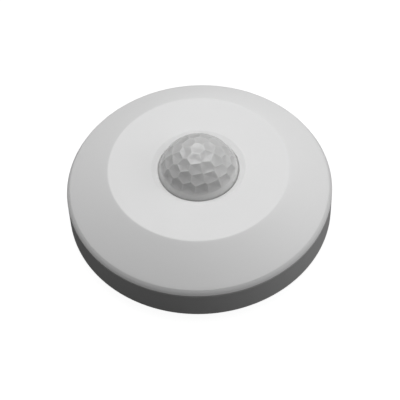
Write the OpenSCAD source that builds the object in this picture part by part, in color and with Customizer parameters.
// Ceiling-mount passive infrared motion detector with a twist-lock mounting plate.
// Frame: +Z up, away from the mounting face. Origin on the axis, at the face that meets the ceiling.
// All lengths in millimetres.

/* [Body] */
// Outside diameter of the cover and base
body_d = 110; // [108:0.5:116]
// Height of the base side wall, up to the parting line
base_h = 13.4; // [13.2:0.1:13.6]
// Height of the flat top above the mounting face
top_z = 26.3; // [26.2:0.1:27]
// Diameter of the flat top disc
flat_d = 74.4; // [73:0.2:76]
// Height of the foot of the sloping shoulder
shoulder_z = 15.9; // [15.8:0.1:16.2]
// Distance of the shoulder's foot in from the outside edge
edge_in = 1.4; // [1.2:0.1:1.6]
// Swell of the rounded edge between the shoulder and the parting line
edge_swell = 0.35; // [0.2:0.05:0.5]
// Wall thickness of the cover
cover_t = 2.0; // [1.8:0.1:2.1]
// Draft of the base side wall, mm on the radius
base_draft = 0.1; // [0:0.1:0.4]
// Outer diameter of the dished recess round the lens
recess_d = 38.6; // [37.5:0.1:40]
// Depth of the dished recess
recess_depth = 0.95; // [0.5:0.05:1.1]
// Diameter of the lens opening in the cover
opening_d = 33.6; // [33.4:0.1:34.2]

/* [Lens] */
// Outside radius of the dome
lens_r = 16.6; // [16.4:0.1:16.7]
// Height of the dome's centre
lens_z = 22.2; // [22:0.1:22.4]
// Wall thickness of the dome
lens_t = 0.8; // [0.7:0.05:1]
// Depth of a facet below the dome's sphere
facet_depth = 0.32; // [0.26:0.02:0.4]
// Outside diameter of the flange under the cover
flange_d = 41; // [39:0.5:42]
// Facets in the rings, from the crown outward
ring_count = [1, 6, 11, 14, 17]; // [1:1:17]
// Angle from the crown to the middle of each ring, degrees
ring_colat = [0, 18, 32.3, 47, 61.8]; // [0:0.1:62]
// Turn of each ring, degrees
ring_turn = [0, 13, 0, 10.4, -1.7]; // [-30:0.1:30]

/* [Mounting plate] */
// Diameter of the mounting plate disc
plate_d = 82; // [80:0.5:83]
// Thickness of the mounting plate disc
plate_t = 2; // [1.6:0.1:2.4]
// Distance between the two slotted screw holes, and between the two round ones
screw_spacing = 60; // [56:0.5:62]
// Radius of the screw holes
screw_hole_r = 2.2; // [1.8:0.1:2.4]
// End-to-end length of a slot
slot_len = 10; // [7:0.5:11]
// Radius of the cable hole in the plate
plate_hole_r = 9; // [8:0.5:11]
// Arc of each bayonet tab, degrees
tab_arc = 14; // [12:1:15]
// Arc of each bayonet lug on the base, degrees
lug_arc = 11; // [8:1:11]
// Turn from locked to free, degrees
unlock_turn = 16; // [14:1:16]

/* [Circuit board] */
// Radius of the board
pcb_r = 46; // [45:0.5:48]
// Height of the board's underside
pcb_z = 12.8; // [12.4:0.1:13]
// Board thickness
pcb_t = 1.6; // [1.2:0.1:1.6]
// Radius of the circle of board screws
pcb_screw_r = 40; // [39:0.5:40.5]
// Height of the spacer under the sensing element
spacer_h = 3.4; // [3:0.1:3.6]

/* [Terminal block] */
// Number of poles
poles = 6; // [6:1:6]
// Distance between poles
pitch = 3.81; // [3.81:0.01:3.81]

/* [Hidden] */
$fn = 72;
fine_fn = 180;                            // facets of the large round parts
eps = 0.01;                               // overlap that fuses touching parts
through = 30;                             // height of a cutter that passes right through
body_r = body_d / 2;
flat_r = flat_d / 2;
plate_r = plate_d / 2;
board_top = pcb_z + pcb_t;
lead_z = pcb_z - 1.4;                     // tips of the leads, below the board
lead_grid = 2.54;                         // unit of lead spacing
slope = (top_z - shoulder_z) / (body_r - edge_in - flat_r); // shoulder drop per mm of radius
shoulder_drop = cover_t * sqrt(1 + slope * slope); // vertical thickness of the shoulder
cover_under_z = top_z - cover_t;          // inside face of the flat top
floor_z = 5.6;                            // underside of the base floor
floor_t = 1.8;
floor_top = floor_z + floor_t;
cable_hole_r = 7;                         // hole in the base floor
skirt_in_r = 45;                          // bayonet skirt under the base floor
skirt_out_r = 46.8;
tongue_r = body_r - 2.6;                  // outside of the cover's tongue, inside the base wall
tab_angles = [30, 150, 270];              // bayonet tabs and lugs
screw_angles = [90, 210, 330];            // board and retainer screws
locator_angle = 60;                       // pin that locates the board

// Places on the board, x and y
switch_pos = [-17, 27];
trimmer_pos = [17, 27.5];
dip_pos = [30, 11.5];
relay_pos = [-31, 5];
diode_pos = [29.5, -24.5];
terminal_y = -29;
led_x = 9.3;
peg_y = 9.5;                              // shroud pegs, at plus and minus this
pin_angles = [90, 210, 330];              // sensor pins
pin_ring_r = lead_grid;

// Each capacitor: x, y, radius, height
capacitors = [[33, -3.5, 3.15, 7.2], [26.5, 22.5, 2.5, 5.6], [-27.5, 20.5, 2.5, 5.6]];

// Each integrated circuit: x, y, turn, length, width, leads per side
ics = [
    [-20.5, -21.5, 62, 9.9, 3.9, 8],
    [20.5, -21.5, -60, 4.9, 3.9, 4],
    [-4, 33.5, 0, 8.6, 3.9, 7]
];

// Rows of chip parts: x and y of the first, step in x, step in y, number, turn of each
resistor_rows = [
    [-33.5, -5.5, 2.6, -1.3, 5, 90],
    [19, 1.5, 2.7, 0, 4, 90],
    [2, 24.5, 2.6, 0, 5, 90],
    [17, -15, 0, 2.3, 3, 0],
    [13.5, -36.3, 2.7, 1.8, 3, 90]
];
capacitor_rows = [
    [-14.2, -29, -2.6, 0.3, 4, 90],
    [26.5, -12.5, 2.6, 0, 3, 90],
    [-35.5, 17, 0, 2.4, 3, 0],
    [7, 29.5, 2.7, 0, 3, 90],
    [-18, 18.5, -2.7, 0, 2, 90],
    [24.5, 29.5, 0, 0, 1, 35]
];

// Colours
white = [0.90, 0.90, 0.89];
grey = [0.40, 0.40, 0.41];
milk = [0.80, 0.80, 0.79];
steel = [0.74, 0.74, 0.76];
board_green = [0.07, 0.36, 0.18];
black = [0.06, 0.06, 0.065];
window_brown = [0.18, 0.15, 0.17];
pin_gold = [0.83, 0.70, 0.38];
led_red = [0.75, 0.08, 0.06];
terminal_green = [0.10, 0.42, 0.22];
clamp_cream = [0.80, 0.78, 0.70];
button_red = [0.82, 0.16, 0.12];
trimmer_blue = [0.12, 0.25, 0.62];
dip_red = [0.66, 0.10, 0.09];
relay_black = [0.10, 0.10, 0.105];
can_silver = [0.80, 0.80, 0.82];
chip_tan = [0.72, 0.58, 0.42];

// ---------- helpers ----------

// Points of a quarter circle centred on (x, y), from the +X side round to the +Y side
function corner(x, y, r, steps) =
    [for (i = [0:steps]) [x + r * cos(90 * i / steps), y + r * sin(90 * i / steps)]];

// Copies round the axis, each turned to its angle and moved out by r
module around(angles, r = 0, z = 0)
    for (a = angles) rotate([0, 0, a]) translate([r, 0, z]) children();

// Moves a part onto the top of the board; place starts with x and y
module on_board(place, turn = 0)
    translate([place[0], place[1], board_top]) rotate([0, 0, turn]) children();

// Boxes standing on height z: centred in X and Y, in Y only, and in X only
module centred_box(size, z = 0) translate([-size[0] / 2, -size[1] / 2, z]) cube(size);
module bar_x(x, z, size) translate([x, -size[1] / 2, z]) cube(size);
module bar_y(y, z, size) translate([-size[0] / 2, y, z]) cube(size);

// Part of a ring, centred on the angle mid
module ring_block(inner_r, outer_r, bottom, top, mid, span)
    rotate([0, 0, mid - span / 2]) translate([0, 0, bottom])
        rotate_extrude(angle = span) translate([inner_r, 0]) square([outer_r - inner_r, top - bottom]);

module tube(inner_r, outer_r, bottom, top)
    translate([0, 0, bottom]) difference() {
        cylinder(r = outer_r, h = top - bottom);
        translate([0, 0, -1]) cylinder(r = inner_r, h = top - bottom + 2);
    }

// A round-ended slot along X
module slot(r, length, height) {
    for (side = [-1, 1]) translate([side * (length / 2 - r), 0, 0]) cylinder(r = r, h = height);
    centred_box([length - 2 * r, 2 * r, height]);
}

// A rod along X, centred on the origin
module rod_x(r, length) rotate([0, 90, 0]) cylinder(r = r, h = length, center = true);

// Trapezium that bevels both ends of a width
function bevel(width, chamfer) =
    [[-width / 2, 0], [width / 2, 0], [width / 2 - chamfer, chamfer], [-width / 2 + chamfer, chamfer]];

// A centred box with chamfered upper edges
module chamfered_box(width, depth, height, chamfer) {
    centred_box([width, depth, height - chamfer]);
    translate([0, 0, height - chamfer]) intersection() {
        rotate([90, 0, 0]) linear_extrude(height = depth + 2, center = true)
            polygon(bevel(width, chamfer));
        rotate([90, 0, 90]) linear_extrude(height = width + 2, center = true)
            polygon(bevel(depth, chamfer));
    }
}

// A pan-head screw with a cross recess, head seated on z = 0, shank below
module pan_screw(head_r, head_h, shank_r, shank_l) {
    edge_z = head_h * 0.35;
    edge_r = head_h * 0.65;
    difference() {
        rotate_extrude() polygon(concat(
            [[0, 0], [head_r, 0], [head_r, edge_z]],
            corner(head_r - edge_r, edge_z, edge_r, 6),
            [[0, head_h]]));
        around([0, 90]) centred_box([head_r * 1.24, head_r * 0.26, head_h], head_h * 0.45);
    }
    translate([0, 0, -shank_l]) cylinder(r = shank_r, h = shank_l);
    translate([0, 0, -shank_l - shank_r]) cylinder(r1 = shank_r * 0.25, r2 = shank_r, h = shank_r);
}

// ---------- mounting plate ----------

plate_rim_z = 5;                          // top of the raised rim
plate_rim_r = plate_r - 2.5;              // inside of the rim
plate_hub_z = 3.6;                        // top of the ring round the cable hole
plate_hub_r = plate_hole_r + 2;           // outside of that ring
stop_arc = 1.8;

// Half section of the disc, rim and hub ring: radius, height
module plate_profile() polygon([
    [plate_hole_r, 0], [plate_r - 0.3, 0], [plate_r, 0.3],
    [plate_r, plate_rim_z], [plate_rim_r, plate_rim_z],
    [plate_rim_r, plate_t + 0.5], [plate_rim_r - 0.5, plate_t],
    [plate_hub_r + 0.4, plate_t], [plate_hub_r, plate_t + 0.4],
    [plate_hub_r, plate_hub_z], [plate_hole_r, plate_hub_z]
]);

// A stop that ends the base's turn
module plate_stop(angle, top)
    ring_block(plate_r - 1.0, plate_r + 2.8, 0.6, top, angle, stop_arc);

module mounting_plate() color(white) difference() {
    union() {
        rotate_extrude($fn = fine_fn) plate_profile();
        // bayonet tabs, each with a closing stop at one end and an entry stop past the other
        for (a = tab_angles) {
            ring_block(plate_r - 1.2, plate_r + 3, 3.5, 4.8, a, tab_arc);
            plate_stop(a - tab_arc / 2 - 0.1, 4.2);
            plate_stop(a + unlock_turn + lug_arc / 2 + 1.9, 4.6);
        }
        // ribs from the hub ring out to the rim
        around([45:90:315])
            bar_x(plate_hole_r + 1, plate_t - 0.8, [plate_r - plate_hole_r - 2.5, 1.2, 2.2]);
        // bosses round the round screw holes
        for (side = [-1, 1]) translate([0, side * screw_spacing / 2, 0.8]) cylinder(r = 5, h = 2.4);
    }
    for (side = [-1, 1]) {
        translate([side * screw_spacing / 2, 0, -1]) slot(screw_hole_r, slot_len, 8);
        translate([0, side * screw_spacing / 2, -1]) cylinder(r = screw_hole_r, h = 8);
    }
    // sight notches in the ceiling face, in line with the tabs
    around(tab_angles) bar_x(plate_r - 8, -1, [4, 1.5, 1.5]);
}

// ---------- base ----------

post_z = floor_z + 0.8;                   // foot of the posts, sunk into the floor
rib_z = floor_z + 0.7;                    // foot of the ribs, sunk into the floor
gusset_r = pcb_screw_r + 1;
ledge_rib_r = 49.5;
guide_x = 5.2;                            // cable guides, at plus and minus this

// Half section of the base: radius, height
module base_profile() polygon([
    // underside of the floor, with the bayonet skirt
    [cable_hole_r, floor_z], [skirt_in_r - 0.4, floor_z],
    [skirt_in_r, floor_z - 0.4], [skirt_in_r, 1.6],
    [skirt_out_r - 0.3, 1.6], [skirt_out_r, 1.9],
    [skirt_out_r, floor_z - 0.4], [skirt_out_r + 0.4, floor_z],
    // outer wall below the floor
    [body_r - 2.9, floor_z], [body_r - 2.6, floor_z - 0.4],
    [body_r - 2.7, 1.2], [body_r - 2.0 - base_draft, 0.2],
    [body_r - 0.5 - base_draft, 0.2], [body_r - base_draft, 0.7],
    // parting line
    [body_r, base_h - 0.5], [body_r - 0.35, base_h - 0.15],
    [body_r - 0.35, base_h], [body_r - 2.1, base_h],
    // inside of the wall, and the top of the floor
    [body_r - 2.4, base_h - 0.3], [body_r - 2.4, floor_top + 1],
    [body_r - 3.4, floor_top], [cable_hole_r, floor_top]
]);

module base_housing() color(grey) difference() {
    union() {
        rotate_extrude($fn = fine_fn) base_profile();
        // bayonet lugs
        for (a = tab_angles)
            ring_block(plate_r + 0.4, skirt_in_r + 0.7, 1.8, 3.3, a, lug_arc);
        // stiffening ribs between the skirt and the wall
        around([15:30:345]) bar_x(46, 2.6, [7, 1.2, 3.6]);
        // board posts with gussets
        around(screw_angles) {
            translate([pcb_screw_r, 0, post_z]) cylinder(r = 3.1, h = pcb_z - post_z);
            bar_x(gusset_r, rib_z, [body_r - 2 - gusset_r, 1.2, 4.4]);
        }
        // ledges that carry the board's edge
        around([45:60:345]) {
            bar_x(44.5, floor_z + 0.9, [5.6, 6, pcb_z - floor_z - 0.9]);
            bar_x(ledge_rib_r, rib_z, [body_r - 1.9 - ledge_rib_r, 4.8, 3.9]);
        }
        // board locating pin on its post
        around([locator_angle], pcb_screw_r) {
            translate([0, 0, post_z]) cylinder(r = 1.9, h = pcb_z - post_z);
            translate([0, 0, pcb_z - 1]) cylinder(r = 1.1, h = 3.2);
        }
        // cable tie anchor and guide walls on the floor
        for (side = [-1, 1]) translate([side * guide_x, 0, 0]) {
            bar_y(-20, post_z, [2, 4, 4.2]);
            bar_y(-34, rib_z, [1.4, 10, 3.3]);
        }
        bar_y(-19.2, floor_z + 3.8, [10.8, 2.4, 0.9]);
    }
    // screw holes in the posts
    around(screw_angles, pcb_screw_r, floor_z + 1.6) cylinder(r = 1.15, h = 10);
    // pry notch in the edge of the wall, on the +Y side
    bar_y(body_r - 1.05, base_h - 1.1, [8, 3, 2]);
    // cable knock-outs, thinned from inside the wall
    around([0, 180]) bar_x(body_r - 3, floor_top + 1.2, [1.9, 8, 3.4]);
}

grommet_r = 9;

// Half section: radius, height; a groove grips the edge of the floor's hole
module cable_grommet() color(black) rotate_extrude() polygon([
    [2.6, 4.4], [grommet_r - 0.6, 4.4], [grommet_r, 4.9], [grommet_r, floor_z],
    [cable_hole_r - 0.05, floor_z], [cable_hole_r - 0.05, floor_top],
    [grommet_r, floor_top], [grommet_r, 8.2], [grommet_r - 0.6, 8.7], [4.2, 8.7], [2.6, 8.7]
]);

// ---------- circuit board ----------

function pole_x(i) = (i - (poles - 1) / 2) * pitch;

// Lead places, x and y
led_lead_places = [for (side = [-1, 1]) [led_x, side * lead_grid / 2]];
contact_leg_places = [for (i = [0:poles - 1]) [pole_x(i), terminal_y + 2.7]];
switch_lead_places = [for (i = [-1:1]) switch_pos + [i * 2 * lead_grid, 0]];
relay_lead_places =
    [for (x = [-1, 1], y = [-2, 2]) relay_pos + [x * lead_grid, y * lead_grid]];

// Cutters for round holes in the board
module board_holes(places, r)
    for (place = places) translate([place[0], place[1], 0]) cylinder(r = r, h = through);

// Rectangular leads, from below the board to a rise above it
module leads(places, width, depth, rise = 0)
    for (place = places) translate([place[0], place[1], 0])
        centred_box([width, depth, board_top + rise - lead_z], lead_z);

module main_pcb() color(board_green) difference() {
    translate([0, 0, pcb_z]) cylinder(r = pcb_r, h = pcb_t, $fn = fine_fn);
    around(screw_angles, pcb_screw_r) cylinder(r = 1.6, h = through);
    around([locator_angle], pcb_screw_r) cylinder(r = 1.3, h = through);
    // cable notch in the -Y edge
    bar_y(-60, 0, [14, 21.5, through]);
    around(pin_angles, pin_ring_r) cylinder(r = 0.45, h = through);
    board_holes(led_lead_places, 0.45);
    board_holes([[0, -peg_y], [0, peg_y]], 1.05);
    board_holes(contact_leg_places, 0.55);
    board_holes(switch_lead_places, 0.55);
    board_holes(relay_lead_places, 0.45);
}

module pcb_screws() color(steel) for (a = screw_angles) rotate([0, 0, a])
    translate([pcb_screw_r, 0, board_top]) rotate([0, 0, a * 1.3])
        pan_screw(head_r = 2.8, head_h = 1.9, shank_r = 1.1, shank_l = 5);

// ---------- sensing element ----------

sensor_z = board_top + spacer_h;
can_r = 4.15;
can_in_r = can_r - 0.3;
header_t = 0.5;
header_step_z = 0.9;

module sensor_can() color(steel) translate([0, 0, sensor_z]) difference() {
    rotate_extrude() polygon(concat(
        [[can_in_r, header_t], [can_r, header_t], [can_r, 3.7]],
        corner(can_in_r, 3.9, 0.3, 5),
        [[0, 4.2], [0, 3.95], [can_in_r, 3.95]]));
    centred_box([4, 3.2, 2], 3.5);
}

module sensor_window() color(window_brown) centred_box([4.6, 3.8, 0.5], sensor_z + 3.45);

module sensor_header() color(steel) translate([0, 0, sensor_z]) difference() {
    union() {
        cylinder(r = 4.6, h = header_t);
        cylinder(r = 3.8, h = header_step_z);
        // key tab on the rim
        around([45]) bar_x(4.3, 0, [1.1, 1, header_t]);
        // block under the window
        centred_box([3, 2.4, 1.6], header_step_z - eps);
    }
    around(pin_angles, pin_ring_r, -1) cylinder(r = 0.5, h = 3);
}

module sensor_pins() color(pin_gold)
    around(pin_angles, pin_ring_r, lead_z) cylinder(r = 0.23, h = sensor_z + 1.6 - lead_z);

module sensor_spacer() color(black) translate([0, 0, board_top]) difference() {
    union() {
        cylinder(r = 4.6, h = 0.8);
        cylinder(r = 4.0, h = spacer_h);
    }
    around(pin_angles, pin_ring_r, -1) cylinder(r = 0.45, h = 8);
}

// A dish round the sensor, on two pegs, with a hole for the LED
module sensor_shroud() color(white) difference() {
    union() {
        translate([0, 0, board_top]) rotate_extrude() polygon([
            [5.2, 0], [14.2, 0], [14.5, 0.3], [14.5, 5.6], [14.2, 5.9], [13.6, 5.9], [13.3, 5.6],
            [13.3, 1.4], [12.9, 1.0], [6.3, 1.0], [6.1, 1.2], [6.1, 2.4], [5.2, 2.4]
        ]);
        for (side = [-1, 1]) translate([0, side * peg_y, pcb_z - 0.4])
            cylinder(r = 1.0, h = pcb_t + 0.8);
    }
    translate([led_x, 0, board_top - 1]) cylinder(r = 2.15, h = 8);
}

led_lift = 1.6;                           // underside of the LED above the board
led_r = 1.5;
led_straight_h = 3.6;                     // height of the LED below its dome

module status_led() color(led_red) translate([led_x, 0, board_top + led_lift]) {
    difference() {
        union() {
            cylinder(r = 1.95, h = 0.9);
            cylinder(r = led_r, h = led_straight_h);
        }
        // flat on the flange
        bar_x(1.65, -1, [2, 6, 1.9]);
    }
    translate([0, 0, led_straight_h]) intersection() {
        sphere(r = led_r);
        centred_box([4, 4, 4], -eps);
    }
}

module led_leads() color(steel) leads(led_lead_places, 0.5, 0.5, led_lift);

// ---------- terminal block ----------

block_w = poles * pitch + 0.6;
block_lower_h = 7.2;                      // height of the wide lower part

module at_pole(i) on_board([pole_x(i), terminal_y]) children();

module terminal_housing() color(terminal_green) difference() {
    on_board([0, terminal_y]) {
        bar_y(-4, 0, [block_w, 8, block_lower_h]);
        bar_y(-2.6, block_lower_h - eps, [block_w, 6.6, 1.8]);
    }
    for (i = [0:poles - 1]) at_pole(i) {
        bar_y(-2.3, 0.5, [3, 5.5, 5.4]);                             // clamp chamber
        bar_y(-5, 1.2, [2.5, 4, 2.1]);                               // wire entry
        bar_y(-4.6, 0.9, [3.2, 1.0, 2.7]);                           // its lead-in
        translate([0, 0, 5.8]) cylinder(r = 1.05, h = 0.7);          // neck round the shank
        translate([0, 0, 6.4]) cylinder(r = 1.5, h = 1.4);           // well that holds the head
        translate([0, 0, 7.7]) cylinder(r = 1.25, h = 4);            // driver access
        bar_y(2.2, -1, [1, 1, 3]);                                   // contact leg
    }
    // marks between poles on the -Y shoulder
    for (i = [1:poles - 1]) at_pole(i - 0.5) bar_y(-4.5, 6.6, [0.3, 1.6, 2]);
}

module terminal_contacts() color(steel) {
    for (i = [0:poles - 1]) at_pole(i) bar_y(-1.7, 2.8, [1.6, 4.75, 0.6]);
    leads(contact_leg_places, 0.7, 0.7, 3.3);
}

module terminal_screw(i) color(steel) at_pole(i) {
    difference() {
        translate([0, 0, 6.45]) cylinder(r = 1.4, h = 1.2);
        // driver slot, turned differently at each pole
        rotate([0, 0, 25 + 31 * i]) centred_box([4, 0.4, 2], 7.05);
    }
    translate([0, 0, 3.55]) cylinder(r = 0.95, h = 3);
}

module terminal_clamp(i) color(clamp_cream) at_pole(i) difference() {
    centred_box([2.8, 3.8, 3.6], 0.6);
    centred_box([1.9, 6, 2.6], 1.1);
    cylinder(r = 1.0, h = 10);
}

// ---------- tamper switch ----------

// Places relative to the switch's centre, on the board
button_x = 1.2;
pivot_x = -4.9;
pivot_z = 6.8;
lever_x = -5.7;                           // square end of the lever
lever_len = 12.4;                         // up to the centre of its round end
lever_w = 3;
lever_t = 0.25;
lever_z = 7.35;

// A rod along Y, on the lever's pivot
module pivot_rod(r, length)
    translate([pivot_x, 0, pivot_z]) rotate([90, 0, 0]) cylinder(r = r, h = length, center = true);

module tamper_switch_body() color(black) on_board(switch_pos) difference() {
    union() {
        chamfered_box(12.8, 5.8, 6.5, 0.3);
        bar_x(pivot_x - 0.55, 6.2, [1.1, 2.1, 1.0]);
    }
    pivot_rod(0.26, 6);
    translate([button_x, 0, 4]) cylinder(r = 0.85, h = 5);
    // holes through the body along Y
    for (x = [-3.25, 3.25]) translate([x, -5, 2.2]) rotate([-90, 0, 0]) cylinder(r = 1.0, h = 10);
}

module tamper_button() color(button_red) on_board(switch_pos) {
    translate([button_x, 0, 4.3]) cylinder(r = 0.8, h = 2.7);
    translate([button_x, 0, 7.0]) cylinder(r1 = 0.8, r2 = 0.5, h = 0.3);
}

module tamper_lever() color(steel) on_board(switch_pos) {
    difference() {
        union() {
            bar_x(lever_x, lever_z, [lever_len, lever_w, lever_t]);
            translate([lever_x + lever_len, 0, lever_z]) cylinder(r = lever_w / 2, h = lever_t);
        }
        bar_x(-2.6, 7, [2.4, 1, 1]);
    }
    // cheeks down to the pivot
    for (y = [-1.5, 1.2]) translate([-5.14, y, 6.56]) cube([0.74, 0.3, 0.89]);
    pivot_rod(0.22, lever_w);
}

module tamper_pins() color(steel) leads(switch_lead_places, 0.8, 0.5);

// ---------- setting controls ----------

module trimmer_body() color(trimmer_blue) on_board(trimmer_pos) difference() {
    chamfered_box(6.6, 6.6, 3.6, 0.3);
    translate([0, 0, 1.6]) cylinder(r = 2.65, h = 5);
    translate([2.4, 2.4, 3.1]) cube([2, 2, 2]);
}

module trimmer_rotor() color(white) on_board(trimmer_pos) difference() {
    union() {
        translate([0, 0, 1.65]) cylinder(r = 2.6, h = 2.15);
        translate([0, 0, 3.8 - eps]) cylinder(r1 = 2.4, r2 = 2.2, h = 0.3);
    }
    around([0, 90]) centred_box([3.4, 0.6, 2], 3.1);
    // arrow mark at the +Y end of the cross
    rotate([0, 0, 90]) translate([0, 0, 3.5])
        linear_extrude(height = 2) polygon([[1.75, 0.75], [1.75, -0.75], [2.5, 0]]);
}

// The switch is laid out along X, then turned to lie along Y
module dip_body() color(dip_red) on_board(dip_pos, 90) difference() {
    chamfered_box(9.9, 6.2, 3.3, 0.25);
    for (i = [-1:1]) translate([i * lead_grid, 0, 0]) centred_box([1.5, 3.5, 3], 2.1);
}

// A slider sits at its "off" end and travels to the other end of its slot
module dip_slider(i) color(white) on_board(dip_pos, 90) translate([i * lead_grid, 0, 0]) {
    bar_y(-1.7, 2.15, [1.4, 1.5, 1.0]);
    bar_y(-1.5, 3.1, [1.0, 1.1, 1.1]);
}

// ---------- other board parts ----------

relay_lift = 0.3;                         // underside of the relay above the board

module alarm_relay() color(relay_black) on_board(relay_pos) {
    translate([0, 0, relay_lift]) chamfered_box(7.4, 15, 7.6, 0.35);
    // feet
    for (y = [-6.6, 6.6]) translate([0, y, 0]) centred_box([6.4, 1, 0.5]);
}

module relay_pins() color(steel) leads(relay_lead_places, 0.5, 0.4, relay_lift);

// A can with a groove near its foot and three scored lines across its top
module capacitor_can(r, height) difference() {
    rotate_extrude() polygon(concat(
        [[0, 0.6], [r - 0.15, 0.6], [r, 0.9], [r, 1.7], [r - 0.25, 2.0], [r, 2.3]],
        corner(r - 0.4, height - 0.4, 0.4, 5),
        [[0, height]]));
    around([0, 60, 120]) centred_box([r * 1.4, 0.18, 1], height - 0.15);
}

// A square base with a seat for the can and its two +X corners cut
module capacitor_base(r) {
    half = r + 0.15;
    difference() {
        centred_box([2 * half, 2 * half, 1.2]);
        translate([0, 0, 0.58]) cylinder(r = r + 0.05, h = 3);
        for (side = [-1, 1]) translate([half, side * half, -1])
            rotate([0, 0, 45]) cube([1.1, 1.1, 5], center = true);
    }
}

module capacitor_cans() color(can_silver)
    for (cap = capacitors) on_board(cap) capacitor_can(cap[2], cap[3]);

module capacitor_bases() color(black)
    for (cap = capacitors) on_board(cap) capacitor_base(cap[2]);

// A package with its pin-one dimple
module ic_package(length, width) difference() {
    translate([0, 0, 0.15]) chamfered_box(length, width, 1.55, 0.25);
    translate([-length / 2 + 0.9, -width / 2 + 0.95, 1.6]) cylinder(r = 0.35, h = 1);
}

// One bent lead, running out along +Y. Profile: height, distance out from the package.
module ic_lead() translate([0.2, 0, 0]) rotate([0, -90, 0]) linear_extrude(height = 0.4) polygon([
    [0, 0.55], [0, 1.1], [0.18, 1.1], [0.18, 0.68],
    [0.95, 0.32], [0.95, 0.01], [0.77, 0.01], [0.77, 0.22]
]);

module ic_packages() color(black)
    for (ic = ics) on_board(ic, ic[2]) ic_package(ic[3], ic[4]);

module ic_leads() color(steel)
    for (ic = ics) on_board(ic, ic[2])
        for (i = [0:ic[5] - 1], side = [-1, 1])
            translate([(i - (ic[5] - 1) / 2) * lead_grid / 2, side * ic[4] / 2, 0])
                rotate([0, 0, side > 0 ? 0 : 180]) ic_lead();

// Rows of small blocks, all of one height
module chip_parts(rows, height)
    for (row = rows, k = [0:row[4] - 1])
        on_board([row[0] + k * row[2], row[1] + k * row[3]], row[5])
            translate([-1, -0.62, 0]) cube([2, 1.25, height]);

module chip_resistors() color(black) chip_parts(resistor_rows, 0.5);

module chip_capacitors() color(chip_tan) chip_parts(capacitor_rows, 0.85);

diode_r = 1.15;
diode_lead_r = 0.32;

module rectifier_diode() color(black) on_board(diode_pos, -50) {
    translate([0, 0, diode_r]) rod_x(diode_r, 4.4);
    for (side = [-1, 1]) {
        translate([side * 3.0, 0, diode_r]) rod_x(diode_lead_r, 2.2);
        translate([side * 3.9, 0, 0]) cylinder(r = diode_lead_r, h = 1.45);
    }
}

// ---------- cover ----------

retainer_z = top_z - 4.7;                 // underside of the lens retainer
retainer_t = 1.5;
retainer_in_r = 16.25;
retainer_screw_r = 24.5;                  // radius of its circle of screws
cover_in_r = body_r - 4.1;                // inside of the cover wall
cover_rib_r = 39;                         // inner end of the shoulder ribs
cover_rib_len = 9;
tamper_post_z = board_top + 7.75;

// Points of a parabola from start to end, pulled towards pull
function curve(start, pull, end, steps) = [
    for (i = [0:steps]) let (t = i / steps)
        (1 - t) * (1 - t) * start + 2 * t * (1 - t) * pull + t * t * end
];

// Height of the inside of the shoulder at radius r
function shoulder_under(r) = top_z - shoulder_drop - (r - flat_r) * slope;

// Half section of the cover: radius, height
module cover_profile() {
    foot = [body_r - edge_in, shoulder_z];
    rim = [body_r, base_h + 0.3];
    chord = foot - rim;
    pull = (foot + rim) / 2 + edge_swell * [chord[1], -chord[0]] / norm(chord);
    recess_r = recess_d / 2;
    opening_r = opening_d / 2;
    recess_z = top_z - recess_depth;
    tongue_z = base_h - 2.2;
    polygon(concat(
        // rim and swelling edge
        [[body_r - 0.25, base_h + 0.05]],
        curve(rim, pull, foot + 0.12 * (rim - foot), 8),
        // shoulder and flat
        [foot + [-0.05, -0.03], foot + [-0.4, 0.4 * slope]],
        [[flat_r + 0.5, top_z - 0.5 * slope], [flat_r + 0.2, top_z - 0.2 * slope + 0.03],
         [flat_r - 0.2, top_z]],
        // dished recess
        [[recess_r + 0.1, top_z], [recess_r - 0.05, top_z - 0.05],
         [opening_r + 0.25, recess_z], [opening_r, recess_z - 0.2]],
        // inside wall
        [[opening_r, cover_under_z], [flat_r - 0.8, cover_under_z],
         [cover_in_r, shoulder_under(cover_in_r)]],
        // tongue that plugs into the base
        [[cover_in_r, tongue_z + 0.2], [cover_in_r + 0.2, tongue_z], [tongue_r - 0.2, tongue_z],
         [tongue_r, tongue_z + 0.2], [tongue_r, base_h + 0.05]]
    ));
}

// Section of a shoulder rib: distance out from its inner end, height
module cover_rib() {
    inner_z = shoulder_under(cover_rib_r);
    outer_z = shoulder_under(cover_rib_r + cover_rib_len);
    rotate([90, 0, 0]) linear_extrude(height = 1.2, center = true) polygon([
        [0, top_z - 6.2], [0, inner_z + 0.3], [cover_rib_len, outer_z + 0.3],
        [cover_rib_len, outer_z - 0.6], [6.5, outer_z - 0.6]
    ]);
}

module front_cover() color(white) difference() {
    union() {
        rotate_extrude($fn = fine_fn) cover_profile();
        // lens retainer bosses
        around(screw_angles, retainer_screw_r, retainer_z + 1.55)
            cylinder(r = 2.2, h = cover_under_z - retainer_z - 1.15);
        // tamper post, over the lever's free end
        translate([switch_pos[0] + 6.2, switch_pos[1], tamper_post_z])
            cylinder(r = 1.6, h = cover_under_z - tamper_post_z + 0.4);
        // radial stiffening ribs inside the shoulder
        around([22.5:45:337.5], cover_rib_r) cover_rib();
        // crush ribs on the tongue that grip the base wall
        around([0:60:300]) bar_x(tongue_r - 0.1, base_h - 1.8, [0.25, 1, 1.5]);
    }
    around(screw_angles, retainer_screw_r, 20) cylinder(r = 1.0, h = top_z - 21);
}

// ---------- lens ----------

flange_fn = 120;

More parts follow.
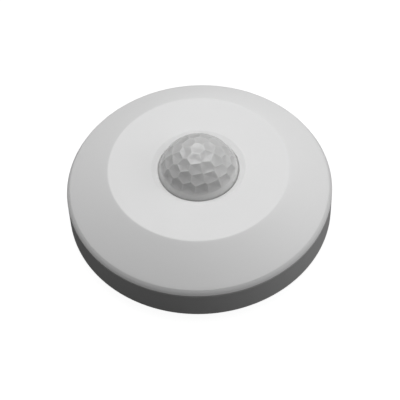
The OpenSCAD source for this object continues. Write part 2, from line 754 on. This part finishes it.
// Dome cut to flat facets in rings, with a plain rim, and a flange that sits under the cover
module dome_lens() color(milk) {
    flange_z = cover_under_z - 1.1;
    flange_top = cover_under_z - 0.05;
    inner_r = lens_r - lens_t;
    difference() {
        union() {
            intersection() {
                translate([0, 0, lens_z]) sphere(r = lens_r, $fn = fine_fn);
                translate([0, 0, flange_z]) cylinder(r = lens_r + 1, h = lens_r + 5);
            }
            translate([0, 0, flange_z])
                cylinder(r = flange_d / 2, h = flange_top - flange_z, $fn = flange_fn);
        }
        translate([0, 0, lens_z]) sphere(r = inner_r, $fn = fine_fn);
        translate([0, 0, flange_z - 1]) cylinder(r = inner_r - 0.06, h = 1.4, $fn = flange_fn);
        // flat cutters, one for each facet
        for (k = [0:len(ring_count) - 1], i = [0:ring_count[k] - 1])
            translate([0, 0, lens_z])
                rotate([0, ring_colat[k], ring_turn[k] + i * 360 / ring_count[k]])
                    centred_box([6.6, 6.6, 1.2], lens_r - facet_depth);
    }
}

// A ring with a lip below its inner edge and three screw ears
module lens_retainer() color(white) difference() {
    union() {
        tube(retainer_in_r, 21.4, retainer_z, retainer_z + retainer_t);
        tube(retainer_in_r, 17.4, retainer_z - 0.8, retainer_z + 0.1);
        around(screw_angles, 0, retainer_z) {
            translate([retainer_screw_r, 0, 0]) cylinder(r = 2.9, h = retainer_t);
            bar_x(19, 0, [retainer_screw_r - 19, 5.8, retainer_t]);
        }
    }
    around(screw_angles, retainer_screw_r, 15) cylinder(r = 1.25, h = 20);
    // clears the ears out of the opening
    translate([0, 0, 15]) cylinder(r = retainer_in_r, h = 20);
}

module retainer_screws() color(steel) for (a = screw_angles) rotate([0, 0, a])
    translate([retainer_screw_r, 0, retainer_z]) rotate([180, 0, a])
        pan_screw(head_r = 2.0, head_h = 1.3, shank_r = 0.95, shank_l = 2.6);

// ---------- nodes ----------

mounting_plate();
base_housing();
cable_grommet();
main_pcb();
pcb_screws();
sensor_can();
sensor_window();
sensor_header();
sensor_pins();
sensor_spacer();
sensor_shroud();
status_led();
led_leads();
terminal_housing();
terminal_contacts();
for (i = [0:poles - 1]) {
    terminal_screw(i);
    terminal_clamp(i);
}
tamper_switch_body();
tamper_button();
tamper_lever();
tamper_pins();
trimmer_body();
trimmer_rotor();
dip_body();
for (i = [-1:1]) dip_slider(i);
alarm_relay();
relay_pins();
capacitor_cans();
capacitor_bases();
ic_packages();
ic_leads();
chip_resistors();
chip_capacitors();
rectifier_diode();
front_cover();
dome_lens();
lens_retainer();
retainer_screws();
